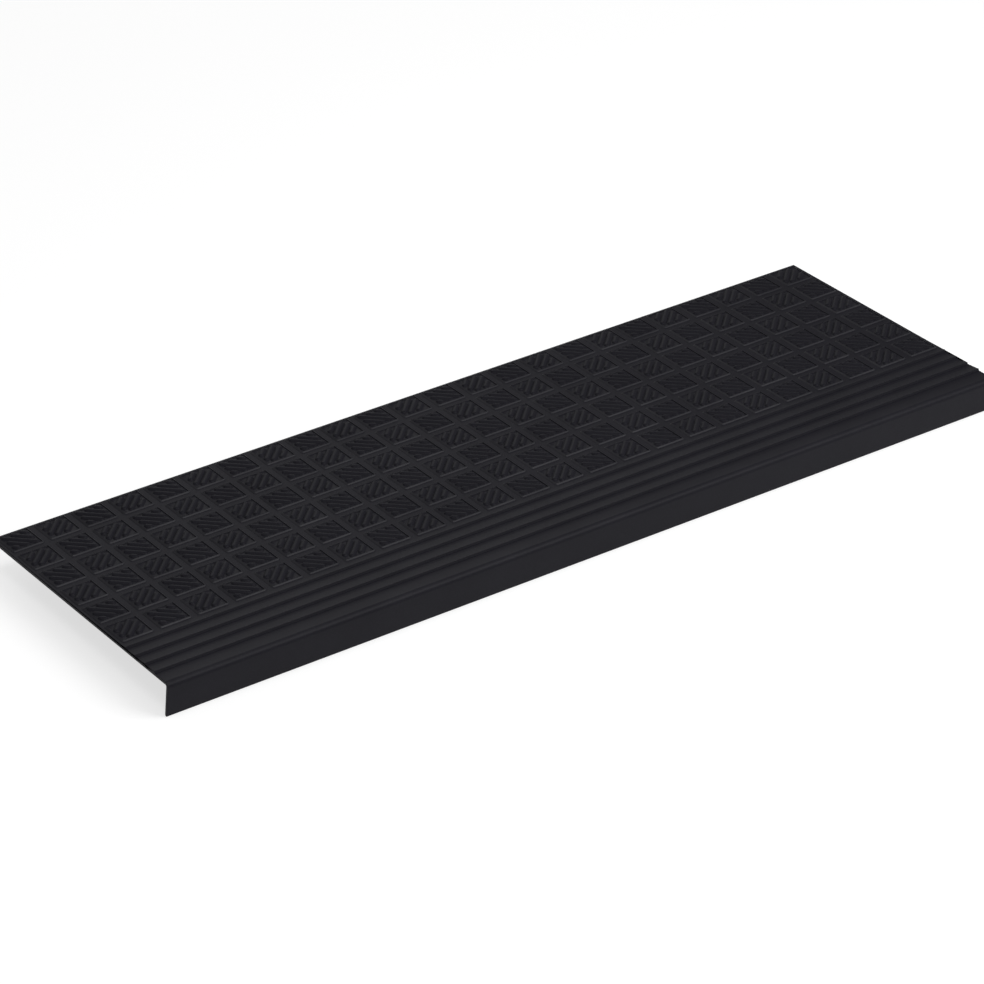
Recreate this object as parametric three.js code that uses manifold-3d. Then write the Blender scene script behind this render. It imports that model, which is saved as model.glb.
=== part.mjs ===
// Anti-slip stair tread mat, moulded in one piece of black rubber.
// Millimetres. X runs along the step, Y from the nose to the back, Z up.
// The origin is the middle of the flat underside, which lies on the step.
import * as THREE from 'three';
import { mergeVertices } from 'three/addons/utils/BufferGeometryUtils.js';
import Module from 'manifold-3d';

// Overall sizes
const length = 750;
const depth = 250;
const height = 32; // from the tops of the ribs to the lower edge of the lip

// Sheet
const sheetThickness = 3;

// Raised square pads, each with sloped walls
const padPitch = 31.25;
const padSize = 25.8; // at the foot
const padHeight = 1;
const padDraft = 0.9; // how far each wall leans in towards the top
const smallestMargin = 2; // bare sheet outside the outermost pads

// Diagonal ribs on the pads
const ribPitch = 5.5;
const ribWidth = 3.2;
const ribHeight = 0.8;
const ribMargin = 1.2; // bare pad top outside the ends of the ribs
const ribEndDraft = 0.3;

// Nose: steps across the front of the tread, each a ramp that climbs to a crest and drops in front of it
const stepCount = 4;
const stepPitch = 13.4;
const frontCrest = 18; // from the front of the nose to the nearest crest
const crestRise = 0.7; // crest above the sheet
const stepDrop = 1.5; // crest to the floor in front of it
const stepDropRun = 0.6;
const stepFloorRun = 6.4;
const firstRampRun = 4.8;
const noseFloorRun = 5.2;
const noseRise = 0.4; // nose above the floor behind it
const noseRadius = 4;

// Lip that hangs over the front of the step
const lipThickness = 2.5;
const lipLean = THREE.MathUtils.degToRad(10);
const lipFillet = 1; // inside the corner between the lip and the sheet

// Faces per curve, and how deep joined solids reach into each other
const arcSteps = 8;
const overlap = 0.4;

const padTop = sheetThickness + padHeight;
const ribTop = padTop + ribHeight;
const crestLevel = sheetThickness + crestRise;
const floorLevel = crestLevel - stepDrop;
const noseLevel = floorLevel + noseRise;
const lipEnd = ribTop - height;
const frontY = -depth / 2;
const backY = depth / 2;
const rearCrest = frontCrest + (stepCount - 1) * stepPitch;
const noseDepth = rearCrest + firstRampRun;

const wasm = await Module();
wasm.setup();

// A closed geometry as a solid that can be joined and cut
function toSolid(geometry) {
  const bare = geometry.clone();
  bare.deleteAttribute('normal');
  bare.deleteAttribute('uv');
  const merged = mergeVertices(bare, 1e-4);
  return new wasm.Manifold(new wasm.Mesh({
    numProp: 3,
    vertProperties: new Float32Array(merged.attributes.position.array),
    triVerts: new Uint32Array(merged.index.array),
  }));
}

function toGeometry(solid) {
  const mesh = solid.getMesh();
  const geometry = new THREE.BufferGeometry();
  geometry.setAttribute('position', new THREE.BufferAttribute(mesh.vertProperties, 3));
  geometry.setIndex(new THREE.BufferAttribute(mesh.triVerts, 1));
  geometry.computeVertexNormals();
  return geometry;
}

function joined(solids) {
  return solids.reduce((whole, solid) => whole.add(solid));
}

// Section through the sheet, the stepped nose and the lip, in the YZ plane
function treadSection() {
  const section = new THREE.Shape();
  section.moveTo(backY, 0);
  section.lineTo(backY, sheetThickness);
  section.lineTo(frontY + noseDepth, sheetThickness);
  for (let k = stepCount - 1; k >= 0; k -= 1) {
    const crest = frontY + frontCrest + k * stepPitch;
    const floorRun = k === 0 ? noseFloorRun : stepFloorRun;
    section.lineTo(crest, crestLevel);
    section.lineTo(crest - stepDropRun, floorLevel);
    section.lineTo(crest - stepDropRun - floorRun, floorLevel);
  }
  section.absarc(frontY + noseRadius, noseLevel - noseRadius, noseRadius, Math.PI / 2, Math.PI + lipLean, false);

  // The lip runs down and back from the nose, and ends in a half round
  const sin = Math.sin(lipLean);
  const cos = Math.cos(lipLean);
  const noseY = frontY + noseRadius * (1 - cos);
  const noseZ = noseLevel - noseRadius * (1 + sin);
  const endRadius = lipThickness / 2;
  const lipLength = (noseZ - lipEnd - endRadius * (1 - sin)) / cos;
  const endY = noseY + lipLength * sin + endRadius * cos;
  const endZ = noseZ - lipLength * cos + endRadius * sin;
  section.absarc(endY, endZ, endRadius, Math.PI + lipLean, 2 * Math.PI + lipLean, false);

  // The fillet meets the inner face of the lip and the underside
  const innerY = noseY + lipThickness * cos;
  const innerZ = noseZ + lipThickness * sin;
  const filletY = innerY + (lipFillet + (lipFillet + innerZ) * sin) / cos;
  section.absarc(filletY, -lipFillet, lipFillet, Math.PI + lipLean, Math.PI / 2, true);
  section.closePath();
  return section;
}

function treadSheet() {
  const geometry = new THREE.ExtrudeGeometry(treadSection(), {
    depth: length,
    bevelEnabled: false,
    curveSegments: arcSteps,
  });
  const alongX = new THREE.Matrix4().makeBasis(
    new THREE.Vector3(0, 1, 0),
    new THREE.Vector3(0, 0, 1),
    new THREE.Vector3(1, 0, 0),
  );
  geometry.applyMatrix4(alongX);
  geometry.translate(-length / 2, 0, 0);
  return toSolid(geometry);
}

// A square block with tapered walls, its top at the given level
function taperedSquare(size, draft, bottom, top) {
  const rise = top - bottom;
  const geometry = new THREE.CylinderGeometry((size - 2 * draft) / Math.SQRT2, size / Math.SQRT2, rise, 4, 1);
  geometry.rotateX(Math.PI / 2);
  geometry.rotateZ(Math.PI / 4);
  geometry.translate(0, 0, bottom + rise / 2);
  return toSolid(geometry);
}

// One ridge along the pad's diagonal, offset to the side of its centre
function ridge(offset, turn) {
  const run = 2 * padSize;
  const section = new THREE.Shape();
  section.moveTo(-ribWidth / 2, -overlap);
  section.lineTo(ribWidth / 2, -overlap);
  section.lineTo(ribWidth / 2, 0);
  section.lineTo(0, ribHeight);
  section.lineTo(-ribWidth / 2, 0);
  section.closePath();
  const geometry = new THREE.ExtrudeGeometry(section, { depth: run, bevelEnabled: false });
  geometry.rotateX(Math.PI / 2);
  geometry.translate(offset, run / 2, padTop);
  geometry.rotateZ(turn);
  return toSolid(geometry);
}

// A pad whose ribs follow one diagonal, with as many as its top has room for
function ribbedPad(turn, ribOnCentre) {
  const fieldSize = padSize - 2 * (padDraft + ribMargin);
  const reach = fieldSize / Math.SQRT2 - ribWidth;
  const first = ribOnCentre ? 0 : ribPitch / 2;
  const offsets = [];
  for (let offset = first; offset <= reach; offset += ribPitch) {
    offsets.push(offset);
    if (offset > 0) offsets.push(-offset);
  }
  const ridges = joined(offsets.map((offset) => ridge(offset, turn)));
  const field = taperedSquare(fieldSize, ribEndDraft, padTop - overlap, ribTop + overlap);
  const block = taperedSquare(padSize, padDraft, sheetThickness - overlap, padTop);
  return block.add(ridges.intersect(field));
}

// Pads over the whole tread behind the nose, their ribs turning from one pad to the next
function padField() {
  const columns = Math.floor((length - 2 * smallestMargin - padSize) / padPitch) + 1;
  const rows = Math.floor((depth - noseDepth - 2 * smallestMargin - padSize) / padPitch) + 1;
  const firstColumn = -(columns - 1) * padPitch / 2;
  const backRow = backY - (depth - noseDepth - (rows - 1) * padPitch) / 2;
  const rising = ribbedPad(-Math.PI / 4, false);
  const falling = ribbedPad(Math.PI / 4, true);
  const pads = [];
  for (let row = 0; row < rows; row += 1) {
    for (let column = 0; column < columns; column += 1) {
      const pad = (row + column) % 2 === 0 ? falling : rising;
      pads.push(pad.translate([firstColumn + column * padPitch, backRow - row * padPitch, 0]));
    }
  }
  return wasm.Manifold.union(pads);
}

const rubber = new THREE.MeshStandardMaterial({ name: 'rubber', color: 0x1d1e20, roughness: 0.7, metalness: 0 });

const treadMat = new THREE.Mesh(toGeometry(treadSheet().add(padField())), rubber);
treadMat.name = 'tread_mat';

const model = new THREE.Group();
model.name = 'stair_tread_mat';
model.add(treadMat);

export default model;
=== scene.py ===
"""Anti-slip stair tread mat, moulded in one piece of black rubber, on a pale studio floor.

X runs along the step, Y from the nose to the back and Z up, in metres. The mat's own
origin is the middle of its flat underside.
"""

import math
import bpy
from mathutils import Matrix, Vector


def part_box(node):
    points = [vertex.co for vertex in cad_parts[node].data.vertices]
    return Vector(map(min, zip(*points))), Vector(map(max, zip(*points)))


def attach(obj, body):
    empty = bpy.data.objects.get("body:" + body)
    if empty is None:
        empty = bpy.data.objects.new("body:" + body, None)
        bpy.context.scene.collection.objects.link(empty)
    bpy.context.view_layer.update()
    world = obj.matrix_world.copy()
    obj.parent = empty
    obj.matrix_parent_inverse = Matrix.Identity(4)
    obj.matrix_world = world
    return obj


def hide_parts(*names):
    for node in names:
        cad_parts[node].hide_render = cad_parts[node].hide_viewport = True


bl_info = {
    "name": "Anti-slip stair tread mat",
    "version": (1, 0, 0),
    "blender": (4, 5, 0),
    "location": "3D View > Sidebar > Tread Mat",
    "description": "Builds a moulded rubber stair mat, with ribbed pads and a stepped nose",
    "category": "Mesh",
}

import bmesh
import bpy
from bpy.props import FloatProperty, FloatVectorProperty, IntProperty, PointerProperty
from mathutils import Matrix, Vector
from mathutils.geometry import delaunay_2d_cdt

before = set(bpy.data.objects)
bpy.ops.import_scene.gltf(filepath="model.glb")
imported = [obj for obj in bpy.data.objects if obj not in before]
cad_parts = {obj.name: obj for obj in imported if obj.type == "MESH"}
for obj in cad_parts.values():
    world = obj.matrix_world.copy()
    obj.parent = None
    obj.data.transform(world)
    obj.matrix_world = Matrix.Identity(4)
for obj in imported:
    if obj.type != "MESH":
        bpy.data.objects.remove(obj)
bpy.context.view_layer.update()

BODY = "root"
NODE = "tread_mat"
MM = 0.001
MAT_LOW, MAT_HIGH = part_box(NODE)


# Sizes and looks that a user would change

def length_property(name, description, default):
    """A length in metres, with room for hundredths of a millimetre."""
    return FloatProperty(name=name, description=description, default=default, min=0.0,
                         unit="LENGTH", subtype="DISTANCE", precision=5)


def angle_property(name, description, degrees):
    """An angle, kept in radians."""
    return FloatProperty(name=name, description=description, default=math.radians(degrees),
                         subtype="ANGLE", unit="ROTATION")


def share_property(name, description, default):
    """A share from 0 to 1."""
    return FloatProperty(name=name, description=description, default=default, min=0.0, max=1.0,
                         subtype="FACTOR")


def colour_property(name, description, default):
    """A colour in linear RGB."""
    return FloatVectorProperty(name=name, description=description, default=default, min=0.0,
                               max=1.0, size=3, subtype="COLOR")


def level_property(name, description, default):
    """A share of the studio's light."""
    return FloatProperty(name=name, description=description, default=default, min=0.0)


class TreadMatSizes(bpy.types.PropertyGroup):
    """Sizes of the moulded mat"""

    length: length_property("Length", "Size along the step", MAT_HIGH.x - MAT_LOW.x)
    depth: length_property("Depth", "From the front of the nose to the back edge", 2 * MAT_HIGH.y)
    height: length_property("Height", "From the tops of the ribs to the lower edge of the lip",
                            MAT_HIGH.z - MAT_LOW.z)
    sheet_thickness: length_property("Sheet thickness",
                                     "Thickness of the plain sheet between the pads", 3 * MM)
    edge_radius: length_property("Edge radius", "Rounding of the sheet's outer edges", 0.35 * MM)
    pad_pitch: length_property("Pad pitch", "From one square pad to the next", 31.25 * MM)
    pad_size: length_property("Pad size", "Side of a pad at its foot", 26.6 * MM)
    pad_height: length_property("Pad height", "Top of a pad above the sheet", 1 * MM)
    pad_corner: length_property("Pad corner radius", "Rounding of a pad's corners, seen from above",
                                2 * MM)
    pad_lean: length_property("Pad wall lean",
                              "How far each wall of a pad leans in towards the top", 1.2 * MM)
    pad_edge: length_property("Pad edge radius", "Rounding of the rim round a pad's top", 0.35 * MM)
    pad_rim: length_property("Pad rim", "Flat rim round a pad's top", 0.1 * MM)
    groove: length_property("Groove depth", "Floor between the ribs below the rim", 0.6 * MM)
    columns: IntProperty(name="Columns", description="Pads along the step", default=24, min=1)
    rows: IntProperty(name="Rows", description="Pads from the back edge to the nose", default=6,
                      min=1)
    rib_pitch: length_property("Rib pitch", "From one rib to the next, across the ribs", 5.5 * MM)
    rib_width: length_property("Rib width", "Width of a rib at its foot", 5.2 * MM)
    rib_height: length_property("Rib height", "Top of a rib above the pad", 0.8 * MM)
    rib_margin: length_property("Rib margin", "From the pad's foot in to the ends of its ribs",
                                1.95 * MM)
    steps: IntProperty(name="Nose steps", description="Crests across the front of the tread",
                       default=4, min=1)
    step_pitch: length_property("Step pitch", "From one crest to the next", 13.4 * MM)
    front_crest: length_property("Front crest", "From the front of the nose to the nearest crest",
                                 18 * MM)
    crest_rise: length_property("Crest rise", "Crest above the sheet", 0.7 * MM)
    step_drop: length_property("Step drop", "Crest down to the floor in front of it", 1.5 * MM)
    step_drop_run: length_property("Step drop run", "Depth that the drop takes", 0.6 * MM)
    step_floor_run: length_property("Step floor run", "Flat floor in front of a drop", 4 * MM)
    nose_floor_run: length_property("Nose floor run", "Flat floor in front of the last drop",
                                    5.2 * MM)
    first_ramp_run: length_property("First ramp run", "Ramp from the sheet up to the rear crest",
                                    4.8 * MM)
    nose_rise: length_property("Nose rise", "Top of the nose above the floor behind it", 0.4 * MM)
    nose_radius: length_property("Nose radius", "Rounding from the tread over to the lip", 4 * MM)
    lip_thickness: length_property("Lip thickness", "Thickness of the lip in front of the step",
                                   2.5 * MM)
    lip_lean: angle_property("Lip lean", "How far the lip leans back from upright", 10)
    lip_fillet: length_property("Lip fillet", "Rounding inside the corner under the nose", 1 * MM)


class RubberLook(bpy.types.PropertyGroup):
    """Colour and surface of the moulded rubber"""

    colour: colour_property("Colour", "Base colour of the black rubber",
                            (0.0066, 0.0062, 0.0092))
    bloom: colour_property("Bloom", "Colour of the rubber where it looks a little greyer",
                           (0.0090, 0.0086, 0.0122))
    # Painted highlight: a lighter colour on the pads' walls and rims, the crests, the nose and the
    # lip's end, where light catches the raised edges; these edges are also glossier
    painted_highlight: colour_property("Painted highlight colour", "Lighter colour painted on the raised edges as a highlight",
                          (0.0250, 0.0245, 0.0290))
    roughness: share_property("Roughness", "Roughness of the moulded face", 0.5)
    highlight_roughness: share_property("Highlight roughness", "Roughness of the raised edges that carry the painted highlight", 0.42)
    shine: share_property("Shine", "Specular level of the rubber", 0.085)
    highlight_shine: share_property("Highlight shine", "Specular level of the raised edges that carry the painted highlight", 0.32)
    grain: length_property("Grain", "Size of the fine moulded grain", 0.45 * MM)
    grain_depth: length_property("Grain depth", "Depth of the fine moulded grain", 0.02 * MM)


class StudioSettings(bpy.types.PropertyGroup):
    """Camera, lamps and floor"""

    lens: FloatProperty(name="Lens", description="Focal length", default=153.013, min=1.0,
                        unit="CAMERA")
    position: FloatVectorProperty(name="Camera position", description="Where the camera stands",
                                  subtype="TRANSLATION", unit="LENGTH", size=3,
                                  default=(-1.56959, -2.28400, 1.52780))
    azimuth: angle_property("Azimuth", "Camera's heading from +Y towards +X", 34.239)
    elevation: angle_property("Elevation", "How far the camera looks down", 29.311)
    roll: angle_property("Roll", "Turn of the camera about its own view", -1.345)
    floor_colour: colour_property("Floor colour", "Colour of the plain floor", (0.8, 0.8, 0.8))
    overhead: level_property("Overhead level", "Share of the light from the lamp above", 0.17)
    left: level_property("Left level", "Share of the light from the small lamp on the left", 0.15)
    front: level_property("Front level", "Share of the light from the lamp on the front right",
                          0.4)
    back: level_property("Back level", "Share of the light from the lamp behind the mat", 0.05)
    sky: level_property("Sky level", "Share of the light that comes evenly from all round", 0.32)


# The mat's mesh

class Skin:
    """Points and faces of the mat, with the painted highlight of each point."""

    def __init__(self):
        self.points = []
        self.painted_highlight = []
        self.faces = []

    def add(self, points, painted_highlight=0.0):
        """Adds points and returns their numbers."""
        first = len(self.points)
        self.points.extend(points)
        self.painted_highlight.extend([painted_highlight] * len(points))
        return list(range(first, len(self.points)))

    def band(self, lower, upper):
        """Joins two closed rings of as many points."""
        for i in range(len(lower)):
            j = (i + 1) % len(lower)
            self.faces.append((lower[i], lower[j], upper[j], upper[i]))


def arc(centre, radius, start, end, parts):
    """Points round part of a circle, both ends included."""
    turns = [start + (end - start) * i / parts for i in range(parts + 1)]
    return [(centre[0] + radius * math.cos(turn), centre[1] + radius * math.sin(turn))
            for turn in turns]


def rounded(before, corner, after, radius, parts):
    """Points of an arc that rounds the corner between two straight runs."""
    corner = Vector(corner)
    back, on = (Vector(before) - corner).normalized(), (Vector(after) - corner).normalized()
    half = back.angle(on) / 2
    centre = corner + (back + on).normalized() * (radius / math.sin(half))
    first = corner + back * (radius / math.tan(half)) - centre
    last = corner + on * (radius / math.tan(half)) - centre
    start = math.atan2(first.y, first.x)
    turn = (math.atan2(last.y, last.x) - start + math.pi) % (2 * math.pi) - math.pi
    return arc(centre, radius, start, start + turn, parts)


def rounded_run(corners):
    """A run of points through corners, each (y, z, radius, parts). A radius of 0 keeps it sharp."""
    run = []
    for i, (y, z, radius, parts) in enumerate(corners):
        if radius and 0 < i < len(corners) - 1:
            run.extend(rounded(corners[i - 1][:2], (y, z), corners[i + 1][:2], radius, parts))
        else:
            run.append((y, z))
    return run


# Rounding of each crest, of the foot of its drop and of the foot of the next ramp
CREST_RADIUS = 0.3 * MM
FOOT_RADIUS = 0.3 * MM
RAMP_RADIUS = 3 * MM
# Straight parts that each rounding is drawn with
CREST_PARTS = 4
FOOT_PARTS = 3
RAMP_PARTS = 3
EDGE_PARTS = 3
NOSE_PARTS = 14
LIP_END_PARTS = 8
FILLET_PARTS = 6
# Painted highlight on the crests, the nose and the lip's end, and how far down the first two it
# reaches
CREST_HIGHLIGHT = 0.1
CREST_HIGHLIGHT_DEPTH = 0.2 * MM
NOSE_HIGHLIGHT = 0.15
NOSE_HIGHLIGHT_DEPTH = 3 * MM
LIP_END_HIGHLIGHT = 0.05
# An inset corner moves at most 1 / INSET_LIMIT times as far as its sides
INSET_LIMIT = 0.5


def without_highlight(points):
    """Points of the outline paired with no painted highlight."""
    return [(point, 0.0) for point in points]


def tread_section(sizes, stops):
    """Closed outline of the sheet, nose and lip in the YZ plane, with the painted highlight of each
    point.

    stops are the places along Y, from back to front, where the grid of pads meets the outline.
    The two numbers after the outline say at which points its flat top begins and ends.
    """
    front, back = -sizes.depth / 2, sizes.depth / 2
    rib_top = sizes.sheet_thickness + sizes.pad_height + sizes.rib_height
    crest_level = sizes.sheet_thickness + sizes.crest_rise
    floor_level = crest_level - sizes.step_drop
    nose_level = floor_level + sizes.nose_rise
    lip_end = rib_top - sizes.height
    edge = sizes.edge_radius

    lower, upper = (back - edge, edge), (back - edge, sizes.sheet_thickness - edge)
    outline = without_highlight(arc(lower, edge, -math.pi / 2, 0, EDGE_PARTS))
    outline += without_highlight(arc(upper, edge, 0, math.pi / 2, EDGE_PARTS))
    top_from = len(outline) - 1
    outline += without_highlight((stop, sizes.sheet_thickness) for stop in stops[1:])
    top_to = len(outline) - 1

    # Ramps climb to a crest and drop in front of it, from the rear crest to the nose
    corners = [(stops[-1], sizes.sheet_thickness, 0, 0)]
    for k in range(sizes.steps - 1, -1, -1):
        crest = front + sizes.front_crest + k * sizes.step_pitch
        foot = crest - sizes.step_drop_run
        floor_run = sizes.step_floor_run if k else sizes.nose_floor_run
        corners.append((crest, crest_level, CREST_RADIUS, CREST_PARTS))
        corners.append((foot, floor_level, FOOT_RADIUS, FOOT_PARTS))
        corners.append((foot - floor_run, floor_level, RAMP_RADIUS, RAMP_PARTS))
    corners.append((front + sizes.nose_radius, nose_level, 0, 0))
    for point in rounded_run(corners)[1:-1]:
        # Painted highlight along the top of each crest, where light catches it
        on_crest = point[1] > crest_level - CREST_HIGHLIGHT_DEPTH
        outline.append((point, CREST_HIGHLIGHT if on_crest else 0.0))

    # Over the nose and down the lip, which leans back and ends in a half round
    lean = sizes.lip_lean
    sin, cos = math.sin(lean), math.cos(lean)
    radius = sizes.nose_radius
    nose = (front + radius, nose_level - radius)
    half_lip = sizes.lip_thickness / 2
    nose_y, nose_z = nose[0] - radius * cos, nose[1] - radius * sin
    run = (nose_z - lip_end - half_lip * (1 - sin)) / cos
    end = (nose_y + run * sin + half_lip * cos, nose_z - run * cos + half_lip * sin)
    # Painted highlight over the top of the nose, fading down its front, and a faint one on the
    # lip's end
    for point in arc(nose, radius, math.pi / 2, math.pi + lean, NOSE_PARTS):
        depth = (nose_level - point[1]) / NOSE_HIGHLIGHT_DEPTH
        outline.append((point, NOSE_HIGHLIGHT * max(0.0, 1 - depth)))
    for point in arc(end, half_lip, math.pi + lean, 2 * math.pi + lean, LIP_END_PARTS):
        outline.append((point, LIP_END_HIGHLIGHT))

    # Up the lip's inner face and round the corner to the underside
    fillet = sizes.lip_fillet
    inner_y = nose_y + sizes.lip_thickness * cos
    inner_z = nose_z + sizes.lip_thickness * sin
    fillet_y = inner_y + (fillet + (fillet + inner_z) * sin) / cos
    outline += without_highlight(arc((fillet_y, -fillet), fillet, math.pi + lean, math.pi / 2, FILLET_PARTS))
    return outline, top_from, top_to


def inset_outline(outline, distance):
    """The closed outline moved inwards by a distance."""
    points = [Vector(point) for point, _ in outline]
    moved = []
    for i, point in enumerate(points):
        before = (point - points[i - 1]).normalized()
        after = (points[(i + 1) % len(points)] - point).normalized()
        inward = Vector((-before.y - after.y, before.x + after.x)).normalized()
        share = inward.dot(Vector((-before.y, before.x)))
        moved.append(point + inward * (distance / max(INSET_LIMIT, share)))
    return moved


def add_body(skin, sizes, stations, stops):
    """Sheet, nose and lip along X, with rounded edges and closed ends, open where the pads go."""
    outline, top_from, top_to = tread_section(sizes, stops)
    painted_highlight = [amount for _, amount in outline]
    edge, half = sizes.edge_radius, sizes.length / 2
    end_turns = [math.pi / 2 * step / EDGE_PARTS for step in range(1, EDGE_PARTS + 1)]
    ends = [(half - edge + edge * math.sin(turn), edge * (1 - math.cos(turn)))
            for turn in end_turns]
    places = [(-x, inset) for x, inset in reversed(ends)] + [(x, 0.0) for x in stations] + ends
    rings = []
    for x, inset in places:
        ring = skin.add([(x, point.x, point.y) for point in inset_outline(outline, inset)])
        for number, amount in zip(ring, painted_highlight):
            skin.painted_highlight[number] = amount
        rings.append(ring)
    for place, (ring, following) in enumerate(zip(rings, rings[1:])):
        inside = len(ends) <= place < len(ends) + len(stations) - 1
        for i in range(len(ring)):
            if inside and top_from <= i < top_to:
                continue
            j = (i + 1) % len(ring)
            skin.faces.append((ring[i], ring[j], following[j], following[i]))
    skin.faces.append(tuple(rings[0]))
    skin.faces.append(tuple(reversed(rings[-1])))


# Straight parts round each corner of a pad and each end of a rib
CORNER_PARTS = 4
RIB_END_PARTS = 4
# Rounding where a pad's wall meets the sheet, and the tightest corner inside a pad from above
FOOT_FILLET = 0.3 * MM
INNER_CORNER = 0.5 * MM
# How far in a pad's rounded edge reaches over its top, as a share of the edge radius
EDGE_REACH = 0.4
# How far in the wall inside the rim leans, as a share of the groove's depth
GROOVE_LEAN = 0.35
# Rings up a rib: half width as a share of its foot's, and height as a share of the rib's
RIB_RINGS = ((1.0, 0.0), (0.92, 0.2), (0.78, 0.46), (0.58, 0.74), (0.34, 0.93), (0.08, 1.0))
# Slack in metres with which the floor of a pad is cut into triangles
FLOOR_SLACK = 1e-7


def square_ring(half, radius):
    """A square round the origin, with sides half away and corners of the given radius."""
    ring = []
    reach = half - radius
    for k, (x, y) in enumerate(((1, 1), (-1, 1), (-1, -1), (1, -1))):
        centre, start = (x * reach, y * reach), k * math.pi / 2
        ring += arc(centre, radius, start, (k + 1) * math.pi / 2, CORNER_PARTS)
    return ring


def stadium_ring(half_run, radius, offset, turn):
    """A bar's outline with half round ends, moved aside by the offset and then turned."""
    ring = arc((half_run, offset), radius, -math.pi / 2, math.pi / 2, RIB_END_PARTS)
    ring += arc((-half_run, offset), radius, math.pi / 2, 3 * math.pi / 2, RIB_END_PARTS)
    sin, cos = math.sin(turn), math.cos(turn)
    return [(x * cos - y * sin, x * sin + y * cos) for x, y in ring]


def rib_bars(sizes, on_centre):
    """(offset, half run) of each rib that a pad's top has room for."""
    field = sizes.pad_size / 2 - sizes.rib_margin
    radius = sizes.rib_width / 2
    bars = []
    count = int(sizes.pad_size / sizes.rib_pitch)
    for i in range(-count, count + 1):
        offset = (i if on_centre else i + 0.5) * sizes.rib_pitch
        half_run = field * math.sqrt(2) - abs(offset) - radius * math.sqrt(2)
        if half_run > 0:
            bars.append((offset, half_run))
    return bars


def pad_template(sizes, turn, on_centre):
    """One pad round the origin: its skin, its foot ring and how far its straight sides reach."""
    skin = Skin()
    base, top = sizes.sheet_thickness, sizes.sheet_thickness + sizes.pad_height
    half, lean, edge = sizes.pad_size / 2, sizes.pad_lean, sizes.pad_edge
    slope = lean / sizes.pad_height
    floor, rim = top - sizes.groove, lean + EDGE_REACH * edge
    inner = rim + sizes.pad_rim
    # Up the wall, over the rim and down to the floor: inset from the foot, height and painted
    # highlight, which is strongest on the wall and the rounded rim
    profile = (
        (-FOOT_FILLET, base, 0.0),
        (0.1 * FOOT_FILLET, base + 0.25 * FOOT_FILLET, 0.0),
        (slope * FOOT_FILLET, base + FOOT_FILLET, 0.9),
        (lean - slope * edge, top - edge, 1.0),
        (lean - 0.1 * edge, top - 0.25 * edge, 0.8),
        (rim, top, 0.1),
        (inner, top, 0.0),
        (inner + GROOVE_LEAN * sizes.groove, floor, 0.0),
    )
    rings = []
    for inset, z, painted_highlight in profile:
        ring = square_ring(half - inset, max(INNER_CORNER, sizes.pad_corner - inset))
        rings.append(skin.add([(x, y, z) for x, y in ring], painted_highlight))
    for lower, upper in zip(rings, rings[1:]):
        skin.band(lower, upper)

    # The ribs, which stand on the floor
    bars = []
    rise = sizes.groove + sizes.rib_height
    for offset, half_run in rib_bars(sizes, on_centre):
        rib = []
        for share, height in RIB_RINGS:
            ring = stadium_ring(half_run, share * sizes.rib_width / 2, offset, turn)
            rib.append(skin.add([(x, y, floor + height * rise) for x, y in ring]))
        for lower, upper in zip(rib, rib[1:]):
            skin.band(lower, upper)
        skin.faces.append(tuple(rib[-1]))
        bars.append(rib[0])

    # The floor round the feet of the ribs
    loops = [rings[-1], *bars]
    numbers = [number for loop in loops for number in loop]
    owner = [k for k, loop in enumerate(loops) for _ in loop]
    edges, first = [], 0
    for loop in loops:
        edges += [(first + i, first + (i + 1) % len(loop)) for i in range(len(loop))]
        first += len(loop)
    flat = [Vector(skin.points[number][:2]) for number in numbers]
    _, _, triangles, origins, _, _ = delaunay_2d_cdt(flat, edges, [], 0, FLOOR_SLACK)
    if len(origins) != len(flat):
        raise RuntimeError("the ribs of a pad touch each other or its rim")
    for triangle in triangles:
        own = [origins[i][0] for i in triangle]
        if owner[own[0]] and owner[own[0]] == owner[own[1]] == owner[own[2]]:
            continue
        skin.faces.append(tuple(numbers[i] for i in own))
    return skin, rings[0], half - sizes.pad_corner


def add_pads(skin, sizes, columns, rows, lines_x, lines_y):
    """Every pad with the plain sheet round it. The ribs turn from one pad to the next."""
    templates = [pad_template(sizes, -math.pi / 4, True),
                 pad_template(sizes, math.pi / 4, False)]
    for row, y in enumerate(rows):
        for column, x in enumerate(columns):
            pad, foot, reach = templates[(row + column) % 2]
            first = len(skin.points)
            skin.points += [(x + px, y + py, pz) for px, py, pz in pad.points]
            skin.painted_highlight += pad.painted_highlight
            skin.faces += [tuple(first + i for i in face) for face in pad.faces]
            foot = [first + i for i in foot]
            left, right = lines_x[column], lines_x[column + 1]
            back, front = lines_y[row], lines_y[row + 1]
            border = ((right, y + reach), (right, back), (x + reach, back),
                      (x - reach, back), (left, back), (left, y + reach),
                      (left, y - reach), (left, front), (x - reach, front),
                      (x + reach, front), (right, front), (right, y - reach))
            border = skin.add([(bx, by, sizes.sheet_thickness) for bx, by in border])
            # Round each corner of the pad, and along the side up to the next corner
            points = CORNER_PARTS + 1
            for k in range(4):
                near, corner, far = border[3 * k:3 * k + 3]
                curve = foot[points * k:points * (k + 1)]
                skin.faces.append((near, corner, curve[0]))
                skin.faces += [(a, corner, b) for a, b in zip(curve, curve[1:])]
                skin.faces.append((corner, far, curve[-1]))
                following = border[3 * (k + 1) % len(border)]
                next_foot = foot[points * (k + 1) % len(foot)]
                skin.faces.append((far, following, next_foot, curve[-1]))


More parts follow.
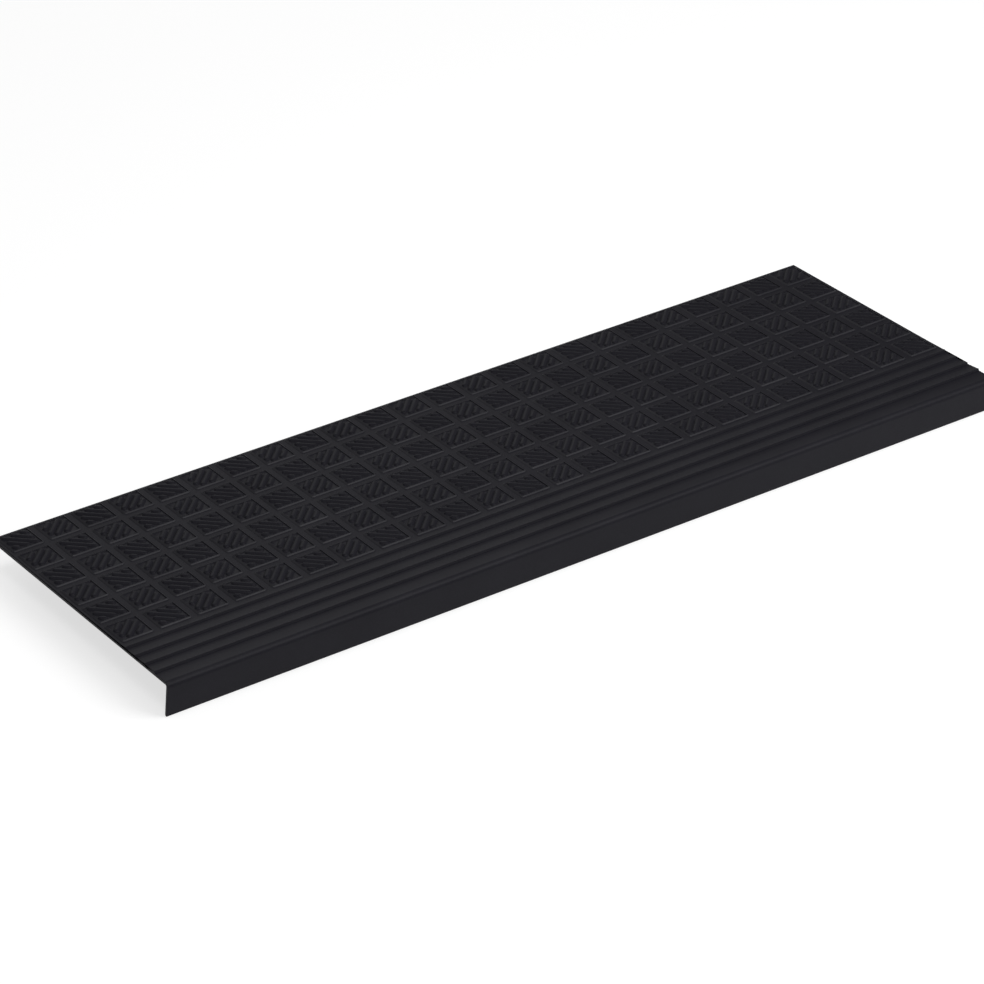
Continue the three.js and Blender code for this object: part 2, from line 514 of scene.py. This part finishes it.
def mat_skin(sizes):
    """The whole mat as points, faces and painted highlight."""
    nose_depth = sizes.front_crest + (sizes.steps - 1) * sizes.step_pitch + sizes.first_ramp_run
    front, back = -sizes.depth / 2 + nose_depth, sizes.depth / 2
    pitch, edge = sizes.pad_pitch, sizes.edge_radius
    columns = [(i - (sizes.columns - 1) / 2) * pitch for i in range(sizes.columns)]
    rows = [(front + back) / 2 + ((sizes.rows - 1) / 2 - i) * pitch for i in range(sizes.rows)]
    half = sizes.length / 2
    lines_x = [-half + edge] + [x + pitch / 2 for x in columns[:-1]] + [half - edge]
    lines_y = [back - edge] + [y - pitch / 2 for y in rows[:-1]] + [front]
    reach = sizes.pad_size / 2 - sizes.pad_corner
    stations = sorted(lines_x + [x + side * reach for x in columns for side in (-1, 1)])
    stops = sorted(lines_y + [y + side * reach for y in rows for side in (-1, 1)], reverse=True)
    skin = Skin()
    add_body(skin, sizes, stations, stops)
    add_pads(skin, sizes, columns, rows, lines_x, lines_y)
    return skin


# Points closer than this are one point
JOIN_DISTANCE = 0.002 * MM


def area_normals(mesh):
    """A normal for each vertex, the mean of its faces by area, so that flat faces shade flat."""
    sums = [Vector() for _ in mesh.vertices]
    for face in mesh.polygons:
        weighted = face.normal * face.area
        for number in face.vertices:
            sums[number] += weighted
    return [total.normalized() for total in sums]


def closed_mesh(name, skin):
    """A mesh from the skin, its doubled points joined, its faces turned outwards."""
    raw = bmesh.new()
    # Each point's share of the painted highlight on the raised edges
    layer = raw.verts.layers.float.new("painted_highlight")
    verts = []
    for point, painted_highlight in zip(skin.points, skin.painted_highlight):
        vert = raw.verts.new(point)
        vert[layer] = painted_highlight
        verts.append(vert)
    for face in skin.faces:
        raw.faces.new([verts[i] for i in face])
    bmesh.ops.remove_doubles(raw, verts=raw.verts, dist=JOIN_DISTANCE)
    bmesh.ops.triangulate(raw, faces=[face for face in raw.faces if len(face.verts) > 4])
    bmesh.ops.recalc_face_normals(raw, faces=raw.faces)
    if any(len(edge.link_faces) != 2 for edge in raw.edges):
        raise RuntimeError("the mat's skin is not closed")
    if raw.calc_volume(signed=True) < 0:
        bmesh.ops.reverse_faces(raw, faces=raw.faces)
    mesh = bpy.data.meshes.new(name)
    raw.to_mesh(mesh)
    raw.free()
    mesh.shade_smooth()
    mesh.normals_split_custom_set_from_vertices(area_normals(mesh))
    return mesh


# Material

# Noise in the rubber, with scales in waves per metre: the broad bloom, the fine dust and the grain
BLOOM_SCALE = 14.0
BLOOM_DETAIL = 5.0
BLOOM_ROUGHNESS = 0.6
DUST_SCALE = 900.0
DUST_DETAIL = 2.0
GRAIN_DETAIL = 2.0
# Bloom times dust at which the rubber shows no bloom, and all of it
BLOOM_NONE = 0.15
BLOOM_FULL = 0.36


def node(tree, kind, label, **values):
    """A labelled node with the given settings."""
    made = tree.nodes.new(kind)
    made.label = label
    for key, value in values.items():
        setattr(made, key, value)
    return made


def rubber_material(look):
    """Matt black moulded rubber: fine grain, a faint bloom and a painted highlight on the raised
    edges, which are also glossier.
    """
    material = bpy.data.materials.new("black moulded rubber")
    material.use_nodes = True
    tree = material.node_tree
    link = tree.links.new
    shader = tree.nodes["Principled BSDF"]
    shader.inputs["Metallic"].default_value = 0.0

    place = node(tree, "ShaderNodeTexCoord", "Place on the mat").outputs["Object"]
    bloom = node(tree, "ShaderNodeTexNoise", "Bloom in the rubber")
    bloom.inputs["Scale"].default_value = BLOOM_SCALE
    bloom.inputs["Detail"].default_value = BLOOM_DETAIL
    bloom.inputs["Roughness"].default_value = BLOOM_ROUGHNESS
    link(place, bloom.inputs["Vector"])
    speckle = node(tree, "ShaderNodeTexNoise", "Fine dust")
    speckle.inputs["Scale"].default_value = DUST_SCALE
    speckle.inputs["Detail"].default_value = DUST_DETAIL
    link(place, speckle.inputs["Vector"])
    dust = node(tree, "ShaderNodeMath", "Bloom with dust", operation="MULTIPLY")
    link(bloom.outputs["Fac"], dust.inputs[0])
    link(speckle.outputs["Fac"], dust.inputs[1])
    spread = node(tree, "ShaderNodeMapRange", "Spread of the bloom")
    spread.inputs["From Min"].default_value = BLOOM_NONE
    spread.inputs["From Max"].default_value = BLOOM_FULL
    link(dust.outputs[0], spread.inputs["Value"])

    base = node(tree, "ShaderNodeMix", "Rubber and bloom", data_type="RGBA")
    base.inputs["A"].default_value = (*look.colour, 1.0)
    base.inputs["B"].default_value = (*look.bloom, 1.0)
    link(spread.outputs["Result"], base.inputs["Factor"])
    # Painted highlight: the raised edges take a lighter colour where light would catch them, varied
    # by the bloom, and also a glossier finish
    painted_highlight = node(tree, "ShaderNodeAttribute", "Painted highlight on raised edges", attribute_name="painted_highlight")
    highlight_mask = node(tree, "ShaderNodeMath", "Share of the painted highlight", operation="MULTIPLY")
    link(painted_highlight.outputs["Fac"], highlight_mask.inputs[0])
    link(bloom.outputs["Fac"], highlight_mask.inputs[1])
    colour = node(tree, "ShaderNodeMix", "Rubber and painted highlight", data_type="RGBA")
    colour.inputs["B"].default_value = (*look.painted_highlight, 1.0)
    link(highlight_mask.outputs[0], colour.inputs["Factor"])
    link(base.outputs["Result"], colour.inputs["A"])
    link(colour.outputs["Result"], shader.inputs["Base Color"])

    dull = node(tree, "ShaderNodeMapRange", "Roughness of the face")
    dull.inputs["To Min"].default_value = look.roughness
    dull.inputs["To Max"].default_value = look.highlight_roughness
    link(highlight_mask.outputs[0], dull.inputs["Value"])
    link(dull.outputs["Result"], shader.inputs["Roughness"])

    shine = node(tree, "ShaderNodeMapRange", "Shine of the face")
    shine.inputs["To Min"].default_value = look.shine
    shine.inputs["To Max"].default_value = look.highlight_shine
    link(highlight_mask.outputs[0], shine.inputs["Value"])
    link(shine.outputs["Result"], shader.inputs["Specular IOR Level"])

    grain = node(tree, "ShaderNodeTexNoise", "Moulded grain")
    grain.inputs["Scale"].default_value = 1.0 / look.grain
    grain.inputs["Detail"].default_value = GRAIN_DETAIL
    link(place, grain.inputs["Vector"])
    bump = node(tree, "ShaderNodeBump", "Grain depth")
    bump.inputs["Distance"].default_value = look.grain_depth
    link(grain.outputs["Fac"], bump.inputs["Height"])
    link(bump.outputs["Normal"], shader.inputs["Normal"])
    return material


# The stage

FLOOR_HALF = 12.0
FLOOR_DROP = 0.2 * MM  # floor under the lip's lower edge
SHADOW_SHARE = 0.4  # of the floor's look that takes the mat's shadow; the rest is plain white
OPEN_FLOOR_LIGHT = 0.9  # light on the floor where no shadow falls
FLOOR_WHITE = 1.02  # what the camera sees there
SENSOR_WIDTH = 36.0  # in mm, as the lens is
LAMP_DISTANCE = 2.4
# Each lamp's setting, its heading from +Y towards +X and its height in degrees, and its size
LAMPS = (
    ("overhead", 150, 72, 1.4),
    ("left", 240, 66, 0.7),
    ("front", 150, 36, 1.4),
    ("back", 20, 31, 1.4),
)


def viewed(tree):
    """1 for camera, glossy and transmission rays, as a socket."""
    path = node(tree, "ShaderNodeLightPath", "Kind of ray")
    first = node(tree, "ShaderNodeMath", "Camera or glossy", operation="MAXIMUM")
    tree.links.new(path.outputs["Is Camera Ray"], first.inputs[0])
    tree.links.new(path.outputs["Is Glossy Ray"], first.inputs[1])
    second = node(tree, "ShaderNodeMath", "Or through glass", operation="MAXIMUM")
    tree.links.new(first.outputs[0], second.inputs[0])
    tree.links.new(path.outputs["Is Transmission Ray"], second.inputs[1])
    return second.outputs[0]


def floor_material(settings):
    """Pale floor, seen as white with the mat's soft shadow, and clear from below."""
    material = bpy.data.materials.new("pale floor")
    material.use_nodes = True
    tree = material.node_tree
    tree.nodes.clear()
    link = tree.links.new
    plain = node(tree, "ShaderNodeBsdfDiffuse", "Floor as the lamps see it")
    plain.inputs["Color"].default_value = (*settings.floor_colour, 1.0)
    shaded = node(tree, "ShaderNodeBsdfDiffuse", "Part that takes the shadow")
    shaded.inputs["Color"].default_value = (SHADOW_SHARE, SHADOW_SHARE, SHADOW_SHARE, 1.0)
    white = node(tree, "ShaderNodeEmission", "Part that is plain white")
    white.inputs["Strength"].default_value = FLOOR_WHITE - SHADOW_SHARE * OPEN_FLOOR_LIGHT
    seen = node(tree, "ShaderNodeAddShader", "White floor with shadow")
    link(shaded.outputs[0], seen.inputs[0])
    link(white.outputs[0], seen.inputs[1])
    by_ray = node(tree, "ShaderNodeMixShader", "Seen or lighting")
    link(viewed(tree), by_ray.inputs["Fac"])
    link(plain.outputs[0], by_ray.inputs[1])
    link(seen.outputs[0], by_ray.inputs[2])
    side = node(tree, "ShaderNodeNewGeometry", "Side of the floor")
    clear = node(tree, "ShaderNodeBsdfTransparent", "Clear from below")
    both = node(tree, "ShaderNodeMixShader", "Above or below")
    link(side.outputs["Backfacing"], both.inputs["Fac"])
    link(by_ray.outputs[0], both.inputs[1])
    link(clear.outputs[0], both.inputs[2])
    output = node(tree, "ShaderNodeOutputMaterial", "Floor")
    link(both.outputs[0], output.inputs["Surface"])
    return material


def lit_world(sky):
    """Even pale light all round."""
    world = bpy.data.worlds.new("studio")
    world.use_nodes = True
    light = world.node_tree.nodes["Background"]
    light.inputs["Color"].default_value = (1.0, 1.0, 1.0, 1.0)
    light.inputs["Strength"].default_value = sky
    bpy.context.scene.world = world


def heading(azimuth, elevation):
    """Unit vector at an angle from +Y towards +X and at a height above the horizon."""
    return Vector((math.sin(azimuth) * math.cos(elevation), math.cos(azimuth) * math.cos(elevation),
                   math.sin(elevation)))


def soft_lamp(name, azimuth, elevation, size, level):
    """A soft lamp, aimed at the mat. At a level of 1 it lights a level white face to white."""
    azimuth, elevation = math.radians(azimuth), math.radians(elevation)
    towards = heading(azimuth, elevation)
    lamp = bpy.data.lights.new(name, "AREA")
    lamp.size = size
    lamp.energy = level * (math.pi * LAMP_DISTANCE) ** 2 / math.sin(elevation)
    made = bpy.data.objects.new(name, lamp)
    made.location = towards * LAMP_DISTANCE
    made.rotation_mode = "QUATERNION"
    made.rotation_quaternion = towards.to_track_quat("Z", "Y")
    bpy.context.scene.collection.objects.link(made)


def photo_camera(settings):
    """Camera at the photograph's angle."""
    ahead = heading(settings.azimuth, -settings.elevation)
    level = Vector((math.cos(settings.azimuth), -math.sin(settings.azimuth), 0.0))
    right = level * math.cos(settings.roll) + level.cross(ahead) * math.sin(settings.roll)
    up = right.cross(ahead)
    data = bpy.data.cameras.new("photo camera")
    data.lens = settings.lens
    data.sensor_fit = "AUTO"
    data.sensor_width = SENSOR_WIDTH
    data.clip_start, data.clip_end = 0.05, 100.0
    camera = bpy.data.objects.new("photo camera", data)
    turn = Matrix((right, up, -ahead)).transposed().to_4x4()
    camera.matrix_world = Matrix.Translation(settings.position) @ turn
    bpy.context.scene.collection.objects.link(camera)
    bpy.context.scene.camera = camera


# Operators, panel and registration

class TREADMAT_OT_mat(bpy.types.Operator):
    """Build the moulded rubber mat"""

    bl_idname = "treadmat.mat"
    bl_label = "Rubber mat"

    def execute(self, context):
        mesh = closed_mesh("rubber_mat", mat_skin(context.scene.tread_mat_sizes))
        mesh.materials.append(rubber_material(context.scene.tread_mat_look))
        mat = bpy.data.objects.new("rubber_mat", mesh)
        context.scene.collection.objects.link(mat)
        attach(mat, BODY)
        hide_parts(NODE)
        return {"FINISHED"}


class TREADMAT_OT_stage(bpy.types.Operator):
    """Set up the floor, the lamps and the camera"""

    bl_idname = "treadmat.stage"
    bl_label = "Studio stage"

    def execute(self, context):
        settings = context.scene.tread_mat_studio
        level = MAT_LOW.z - FLOOR_DROP
        mesh = bpy.data.meshes.new("floor")
        corners = ((-1, -1), (1, -1), (1, 1), (-1, 1))
        corners = [(x * FLOOR_HALF, y * FLOOR_HALF, level) for x, y in corners]
        mesh.from_pydata(corners, [], [(0, 1, 2, 3)])
        mesh.materials.append(floor_material(settings))
        floor = bpy.data.objects.new("floor", mesh)
        context.scene.collection.objects.link(floor)
        lit_world(settings.sky)
        for key, azimuth, elevation, size in LAMPS:
            soft_lamp(f"{key} lamp", azimuth, elevation, size, getattr(settings, key))
        photo_camera(settings)
        context.scene.view_settings.view_transform = "Standard"
        return {"FINISHED"}


class TREADMAT_PT_panel(bpy.types.Panel):
    """Builds the mat and its stage, and holds their sizes and looks"""

    bl_idname = "TREADMAT_PT_panel"
    bl_label = "Tread Mat"
    bl_space_type = "VIEW_3D"
    bl_region_type = "UI"
    bl_category = "Tread Mat"

    def draw(self, context):
        layout = self.layout
        scene = context.scene
        for operator in (TREADMAT_OT_stage, TREADMAT_OT_mat):
            layout.operator(operator.bl_idname)
        groups = (("Sizes", scene.tread_mat_sizes), ("Rubber", scene.tread_mat_look),
                  ("Studio", scene.tread_mat_studio))
        for title, group in groups:
            box = layout.box()
            box.label(text=title)
            for key in group.__annotations__:
                box.prop(group, key)


CLASSES = (TreadMatSizes, RubberLook, StudioSettings,
           TREADMAT_OT_mat, TREADMAT_OT_stage, TREADMAT_PT_panel)


def register():
    for cls in CLASSES:
        bpy.utils.register_class(cls)
    bpy.types.Scene.tread_mat_sizes = PointerProperty(type=TreadMatSizes)
    bpy.types.Scene.tread_mat_look = PointerProperty(type=RubberLook)
    bpy.types.Scene.tread_mat_studio = PointerProperty(type=StudioSettings)


def unregister():
    del bpy.types.Scene.tread_mat_sizes
    del bpy.types.Scene.tread_mat_look
    del bpy.types.Scene.tread_mat_studio
    for cls in reversed(CLASSES):
        bpy.utils.unregister_class(cls)


def main():
    register()
    bpy.ops.treadmat.stage()
    bpy.ops.treadmat.mat()


if __name__ == "__main__":
    main()
